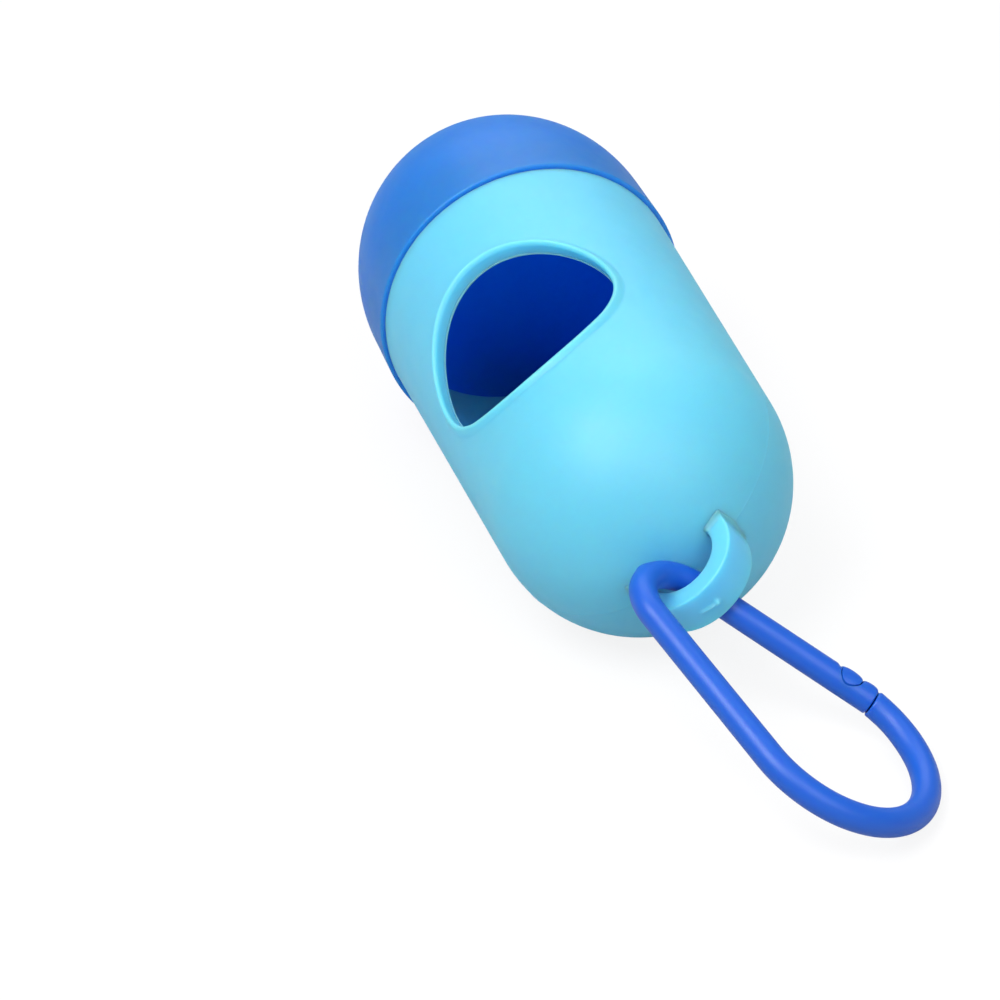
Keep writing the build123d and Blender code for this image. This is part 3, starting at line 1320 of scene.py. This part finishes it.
    def hook_rings(self, path: np.ndarray, side: Side, slit_off: np.ndarray) -> np.ndarray:
        """Rings of the rod along the strand, cut flat along a hook's outline.

        A ring's first points cover the flat, or the same part of the round rod where nothing is
        cut, and the others the rest of the circle. The flat's half width is the radius times the
        sine of the angle whose cosine is its height over the radius. The radius shrinks beside the
        slit as a rounded edge, and the crown is added to it on the side out of the loop.

        Args:
            path: Rows of place along the strand and height of the cut.
            side: The side that is cut away.
            slit_off: For each row, how far it is from the slit's edge.

        Returns:
            Points as ring, place round the ring, and coordinate.
        """
        place, cut = path[:, 0], path[:, 1]
        middle = self.centre_line(place, side)
        near = np.clip(self.slit_edge - slit_off, 0, self.slit_edge)
        radius = self.rod_radius - self.slit_edge + np.sqrt(self.slit_edge**2 - near**2)
        high = side.value * (cut - middle) / radius
        half = np.maximum(np.arccos(np.clip(high, -0.999, 1)), self.flat_angle)[:, None]
        share, rest = self.ring_shares()
        flat_angle = half * share
        is_flat = (high < np.cos(self.flat_angle))[:, None]
        flat_y = np.where(is_flat, high[:, None], np.cos(flat_angle))
        flat_z = np.where(is_flat, np.sin(half) * share, np.sin(flat_angle))
        round_angle = half + (2 * pi - 2 * half) * rest
        y = np.concatenate([flat_y, np.cos(round_angle)], axis=1)
        z = np.concatenate([flat_z, np.sin(round_angle)], axis=1)
        crowned = step(side.value * y, *self.crown_turn)
        grown = radius[:, None] + self.crown(place)[:, None] * crowned
        heights = middle[:, None] + side.value * grown * y
        places = np.broadcast_to(place[:, None], heights.shape)
        return np.stack([places, heights, grown * z], axis=-1)

    def crown(self, place: np.ndarray) -> np.ndarray:
        """Swell of the rod over the nose and over the gate's head, with a notch beside each.

        Formula: each swell is half an ellipse. Under both the rod is lower by the notch's depth,
        from a smooth step down before the nose to a smooth step up past the head.

        Args:
            place: Places along the strand.

        Returns:
            What is added to the rod's radius at each place.
        """
        nose_start = self.nose_at[0] - self.nose_left - self.nose_swell[0]
        nose_end = self.nose_at[0] + self.nose_right + self.nose_swell[1]
        head, half = self.head_at[0], self.head_radii[0]
        middle, reach = (nose_start + nose_end) / 2, (nose_end - nose_start) / 2
        over_nose = np.clip(1 - ((place - middle) / reach) ** 2, 0, 1)
        over_head = np.clip(1 - ((place - head) / half) ** 2, 0, 1)
        from_nose = step(place, *(nose_start - off for off in self.notch_before))
        past_head = step(place, *(self.gate_tip + off for off in self.notch_past))
        swell = self.nose_crown * np.sqrt(over_nose) + self.head_crown * np.sqrt(over_head)
        return swell - self.notch * from_nose * (1 - past_head)

    def pocket(self, gap: float) -> np.ndarray:
        """Outline of the nose: its left wall, its round floor and its right wall.

        Args:
            gap: How much larger it is drawn all round.

        Returns:
            Rows of place along the strand and height.
        """
        x, y = self.nose_at
        depth = self.nose_depth + gap
        wall = x - self.nose_left - gap
        parts = [
            run((wall - self.nose_lean, self.nose_root), (wall, y), 10),
            arc((x, y), (self.nose_left + gap, depth), 180, 270, 10)[1:],
            arc((x, y), (self.nose_right + gap, depth), 270, self.nose_turn, 10)[1:],
        ]
        return np.concatenate(parts)

    def head(self, gap: float) -> np.ndarray:
        """Outline of the gate's head, drawn larger by a gap, from its left to its right."""
        half, rise = self.head_radii
        return arc(self.head_at, (half + gap, rise + gap), *self.head_turn, 28)

    def gate_path(self) -> np.ndarray:
        """The gate's upper outline: its strand, the pocket for the frame's nose, and its head.

        Over the strand the path runs clear of the rod, so that nothing is cut there.

        Returns:
            Rows of place along the strand and height.
        """
        clear = self.rod_radius + self.gate_clear
        start = -self.gate_length() - self.gate_root + self.seam_at
        pocket, head = self.pocket(self.hair), self.head(0.0)
        before = pocket[0, 0] - self.row_gap
        wide_end, close_start = (before - off for off in self.close_rows)
        parts = [
            run((start, clear), (wide_end, clear), 56),
            run((close_start, clear), (before, clear), 8),
            pocket,
            run(pocket[-1], head[0], 4)[1:-1],
            head,
            np.array([(self.gate_tip, height) for height in self.tip_foot]),
        ]
        return np.concatenate(parts)

    def frame_path(self) -> np.ndarray:
        """The frame hook's lower outline, from its nose over the gate's head to the whole rod.

        Returns:
            Rows of place along the strand and height.
        """
        clear = -self.rod_radius - self.frame_clear
        pocket, head = self.pocket(0.0), self.head(self.hair)
        end = self.gate_tip + self.slit
        top, foot, under = np.array(self.slit_wall) + [end, 0]
        wall_end, first, last = (end + off for off in self.whole_rod)
        parts = [
            pocket,
            run(pocket[-1], head[0], 4)[1:-1],
            head[head[:, 0] < end - self.row_gap],
            run(top, foot, 6),
            run(under, (wall_end, clear), 2),
            run((first, clear), (last, clear), 6),
        ]
        return np.concatenate(parts)

    # ---- the two pieces

    def gate_strand(self) -> bpy.types.Object:
        """Makes the gate: a strand that flexes out of the frame without a joint, and its hook.

        Returns:
            The gate.
        """
        path = self.gate_path()
        rings = self.hook_rings(path, Side.OUT_OF_LOOP, self.gate_tip - path[:, 0])
        skin = Skin()
        skin.tube(self.from_strand(rings))
        return skin.build("carabiner_gate_strand", self.axes, self.plastic)

    def frame_line(self) -> tuple[np.ndarray, np.ndarray]:
        """The frame's centre line: round the wide arc, along the far strand, round the narrow arc.

        The first rings on the wide arc still stand square to the strand, as the hook's do, and turn
        in a smooth step to stand square to the arc. The gate's tilt fades out along it as well.

        Returns:
            Rows of x and y, and at each the angle of the direction out of the loop, in radians.
        """
        bend = 90 + degrees(self.lean)
        x_axis, y_axis = self.strand_axes()
        far_out = y_axis * [1, -1]
        wide = np.linspace(self.gate_end - self.arc_from, -bend, 116)
        past = self.gate_end - wide
        fade = 1 - step(past, *self.arc_turn)
        facing = radians(bend) * fade + np.radians(wide) * (1 - fade)
        tilted = self.wide_arc + self.gate_tilt * (1 - step(past, 0, self.tilt_fade))
        turned = np.stack([np.cos(np.radians(wide)), np.sin(np.radians(wide))], axis=-1)
        far_start, far_end = self.wide_arc * far_out + [self.spacing, 0], self.narrow_arc * far_out
        straight = run(far_start, far_end, 53)[1:-1]
        narrow_steps = 63
        narrow = np.radians(np.linspace(-bend, bend - 360, narrow_steps + 1))
        radii = (self.narrow_arc, self.narrow_arc)
        near = run(0 * x_axis, self.seam_at * x_axis, 3)[1:] + self.narrow_arc * y_axis
        centres = [
            tilted[:, None] * turned + [self.spacing, 0],
            straight,
            arc((0, 0), radii, -bend, bend - 360, narrow_steps),
            near,
        ]
        far, root = np.full(len(straight), radians(-bend)), np.full(len(near), radians(bend))
        return np.concatenate(centres), np.concatenate([facing, far, narrow, root])

    def frame_rod(self) -> bpy.types.Object:
        """Makes the frame: its hook, and the rod round both arcs up to the gate's root.

        Formula: past the hook each ring is the centre plus the radius times the cosine along the
        outward direction, and the sine across the loop's plane. The nub adds a bell curve of the
        distance from the narrow arc's middle, times one of the angle round the rod.

        Returns:
            The frame.
        """
        path = self.frame_path()
        slit_off = np.abs(path[:, 0] - self.gate_tip - self.slit)
        hook = self.from_strand(self.hook_rings(path, Side.INTO_LOOP, slit_off))
        centres, angles = self.frame_line()
        middle = np.concatenate([centres, np.zeros((len(centres), 1))], axis=1)
        outward = np.stack([np.cos(angles), np.sin(angles), np.zeros(len(angles))], axis=-1)
        across = np.array([0.0, 0.0, 1.0])
        share, rest = self.ring_shares()
        half = self.flat_angle
        around = pi + np.concatenate([half * share, half + (2 * pi - 2 * half) * rest])
        nub = self.nub_height * bell((angles + pi) * self.narrow_arc, self.nub_length)
        nub = nub[:, None] * bell(np.angle(np.exp(1j * around)), self.nub_angle)
        reach = self.rod_radius + nub
        out_part = (reach * np.cos(around))[..., None] * outward[:, None]
        across_part = (reach * np.sin(around))[..., None] * across
        skin = Skin()
        skin.tube(np.concatenate([hook, middle[:, None] + out_part - across_part]))
        return skin.build("carabiner_rod", self.axes, self.plastic)

    def build(self) -> None:
        """Makes the frame and the gate, and works out the ends of the gate's bend about its root,
        which are not used.
        """
        rod = self.frame_rod()
        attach(rod, "carabiner")
        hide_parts("carabiner_frame")
        gate = self.gate_strand()
        x_axis, y_axis = self.strand_axes()
        reach = (self.gate_root - self.flex, self.gate_root + self.flex)
        ends = [self.narrow_arc * y_axis + place * x_axis for place in reach]
        start, end = (self.axes.place(np.array([*point, 0.0])) for point in ends)
        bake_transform(gate)
        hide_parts("carabiner_gate")
        log.info("carabiner: %d and %d faces", len(rod.data.polygons), len(gate.data.polygons))


def strand_lean(narrow_arc: float, wide_arc: float, spacing: float) -> float:
    """Angle between a pear's straight strands and its long axis: its sine is rise over run."""
    return asin((wide_arc - narrow_arc) / spacing)


# ---------------------------------------------------------------- the studio


@dataclass(frozen=True)
class Softbox:
    """A square studio lamp.

    Attributes:
        name: The lamp's name.
        offset: Where it stands from the object's middle, in metres.
        side: Length of its side in metres.
        power: Its power in watts.
    """

    name: str
    offset: Triple
    side: float
    power: float


@dataclass
class Studio:
    """A pale floor, soft lamps and the camera.

    Attributes:
        tail: Centre of the case's round tail in the shared frame, in metres.
        camera_offset: The camera's place from there, in mm.
        right: The picture's rightward direction.
        up: The picture's upward direction.
        lens: Focal length in mm on a sensor 36 mm wide.
        lamps: The lamps.
        world_light: Strength of the even light all round.
        floor_reach: Half the floor's side in metres.
        paper: Colour of the floor as the object's reflections and lit side see it.
        paper_seen: Its colour to the camera, before the white.
        white_share: Share of plain white in what the camera sees of it.
    """

    tail: np.ndarray
    camera_offset: Triple = (-252.774, 78.411, 166.184)
    right: Triple = (-0.2759, -0.9589, -0.0671)
    up: Triple = (0.4991, -0.2025, 0.8426)
    lens: float = 93.6
    lamps: tuple[Softbox, ...] = (
        Softbox("key", offset=(-0.16, 0.30, 0.52), side=0.34, power=3.3),
        Softbox("fill", offset=(-0.44, -0.12, 0.44), side=0.44, power=1.6),
        Softbox("back", offset=(0.46, -0.14, 0.55), side=0.60, power=2.0),
    )
    world_light: float = 0.28
    floor_reach: float = 2.5
    paper: str = "#C4C4C4"
    paper_seen: str = "#F2F2F2"
    white_share: float = 0.86

    def camera(self) -> None:
        """Places the camera by its three axes and makes it the scene's."""
        right = Vector(self.right).normalized()
        back = right.cross(Vector(self.up)).normalized()
        up = back.cross(right)
        place = Vector(self.tail) + Vector(self.camera_offset) * MM
        data = bpy.data.cameras.new("camera")
        data.lens = self.lens
        data.sensor_width = 36
        data.clip_start = 0.01
        eye = bpy.data.objects.new("camera", data)
        turn = Matrix((right, up, back)).transposed().to_4x4()
        eye.matrix_world = Matrix.Translation(place) @ turn
        bpy.context.scene.collection.objects.link(eye)
        bpy.context.scene.camera = eye

    def lights(self) -> None:
        """Adds the square lamps, each turned to the object's middle."""
        low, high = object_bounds()
        middle = (Vector(low) + Vector(high)) / 2
        for lamp in self.lamps:
            data = bpy.data.lights.new(lamp.name, "AREA")
            data.shape = "SQUARE"
            data.size = lamp.side
            data.energy = lamp.power
            piece = bpy.data.objects.new(lamp.name, data)
            piece.location = middle + Vector(lamp.offset)
            piece.rotation_euler = (-Vector(lamp.offset)).to_track_quat("-Z", "Y").to_euler()
            bpy.context.scene.collection.objects.link(piece)

    def world(self) -> None:
        """Adds a soft even light all round, which shows as white to the camera and through glass.

        Glossy rays see the soft light: the satin plastic has no mirror to show a backdrop in.
        """
        world = bpy.data.worlds.new("studio")
        world.use_nodes = True
        tree = world.node_tree
        tree.nodes.clear()
        path = add_node(tree, "ShaderNodeLightPath").outputs
        seen = add_node(
            tree,
            "ShaderNodeMath",
            {0: path["Is Camera Ray"], 1: path["Is Transmission Ray"]},
            operation="MAXIMUM",
        )
        soft = add_node(
            tree, "ShaderNodeBackground", {"Color": WHITE, "Strength": self.world_light}
        )
        white = add_node(tree, "ShaderNodeBackground", {"Color": WHITE, "Strength": 1.0})
        mix = add_node(
            tree,
            "ShaderNodeMixShader",
            {0: seen.outputs[0], 1: soft.outputs[0], 2: white.outputs[0]},
        )
        add_node(tree, "ShaderNodeOutputWorld", {"Surface": mix.outputs[0]})
        bpy.context.scene.world = world

    def paper_material(self) -> bpy.types.Material:
        """Makes the floor's matt paper.

        The camera sees a share of plain white added to the lit paper, so that it ends up white and
        only the shadow is darker. The white shines for the camera alone, and not on the object.

        Returns:
            The material.
        """
        material = bpy.data.materials.new("white_paper_matt")
        material.use_nodes = True
        tree = material.node_tree
        tree.nodes.clear()
        by_camera = add_node(tree, "ShaderNodeLightPath").outputs["Is Camera Ray"]
        paper, seen = (
            add_node(tree, "ShaderNodeBsdfDiffuse", {"Color": linear(colour), "Roughness": 0.5})
            for colour in (self.paper, self.paper_seen)
        )
        white = add_node(tree, "ShaderNodeEmission", {"Color": WHITE, "Strength": by_camera})
        both = add_node(
            tree,
            "ShaderNodeMixShader",
            {0: self.white_share, 1: seen.outputs[0], 2: white.outputs[0]},
        )
        pick = add_node(
            tree, "ShaderNodeMixShader", {0: by_camera, 1: paper.outputs[0], 2: both.outputs[0]}
        )
        add_node(tree, "ShaderNodeOutputMaterial", {"Surface": pick.outputs[0]})
        return material

    def floor(self) -> None:
        """Lays a wide pale sheet of paper under the object, which keeps its shadow."""
        mesh = bpy.data.meshes.new("floor")
        far = self.floor_reach
        corners = [(-far, -far, 0), (far, -far, 0), (far, far, 0), (-far, far, 0)]
        mesh.from_pydata(corners, [], [(0, 1, 2, 3)])
        mesh.materials.append(self.paper_material())
        floor = bpy.data.objects.new("floor", mesh)
        bpy.context.scene.collection.objects.link(floor)
        floor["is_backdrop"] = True

    def build(self) -> None:
        """Sets up floor, world, lights and camera."""
        self.floor()
        self.world()
        self.lights()
        self.camera()
        bpy.context.scene.view_settings.view_transform = "Standard"


# ---------------------------------------------------------------- the whole


def axes_from_record(frame: dict) -> tuple[Axes, Axes]:
    """Reads the case's and the carabiner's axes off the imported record's joints and mount.

    The cap slides along the case from its mouth, the carabiner swings about the window's direction,
    and the gate's hinge stands square to the carabiner's plane. The mount is the wide arc's centre.
    From there the hinge's place is known on the carabiner's axes, which gives the way they turn.


    Returns:
        The case's axes and the carabiner's.
    """
    joints = {joint["name"]: joint for joint in frame["joints"]}
    slide, swing, hinge = (joints[name] for name in ("cap_pull", "carabiner_swing", "gate_hinge"))
    clip_at = np.array(frame["record"]["mounts"][0]["pos_m"])
    along = unit(np.array(slide["axis"]))
    out = unit(np.array(swing["axis"]) - np.dot(swing["axis"], along) * along)
    tail = np.array(slide["pos_m"]) - Case.mouth_at * MM * along
    case = Axes(tail, along, np.cross(out, along), out)
    normal = -unit(np.array(hinge["axis"]))
    spacing, narrow_arc, root = Carabiner.spacing, Carabiner.narrow_arc, Carabiner.gate_root
    lean = strand_lean(narrow_arc, Carabiner.wide_arc, spacing)
    hinge_x = root * cos(lean) - narrow_arc * sin(lean) - spacing
    hinge_y = root * sin(lean) + narrow_arc * cos(lean)
    to_hinge = np.array(hinge["pos_m"]) - clip_at
    x_axis = unit(hinge_x * to_hinge - hinge_y * np.cross(normal, to_hinge))
    narrow_at = clip_at - spacing * MM * x_axis
    return case, Axes(narrow_at, x_axis, np.cross(normal, x_axis), normal)


def main() -> None:
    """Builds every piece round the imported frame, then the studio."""
    logging.basicConfig(level=logging.INFO, format="%(name)s: %(message)s")
    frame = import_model()
    case_axes, carabiner_axes = axes_from_record(frame)
    case_plastic = CASE_PLASTIC.make()
    Case(case_axes, case_plastic).build()
    TailLoop(case_axes, case_plastic).build()
    Cap(case_axes, CAP_PLASTIC.make()).build()
    Carabiner(carabiner_axes, CARABINER_PLASTIC.make()).build()
    Studio(case_axes.origin).build()


if __name__ == "__main__":
    main()
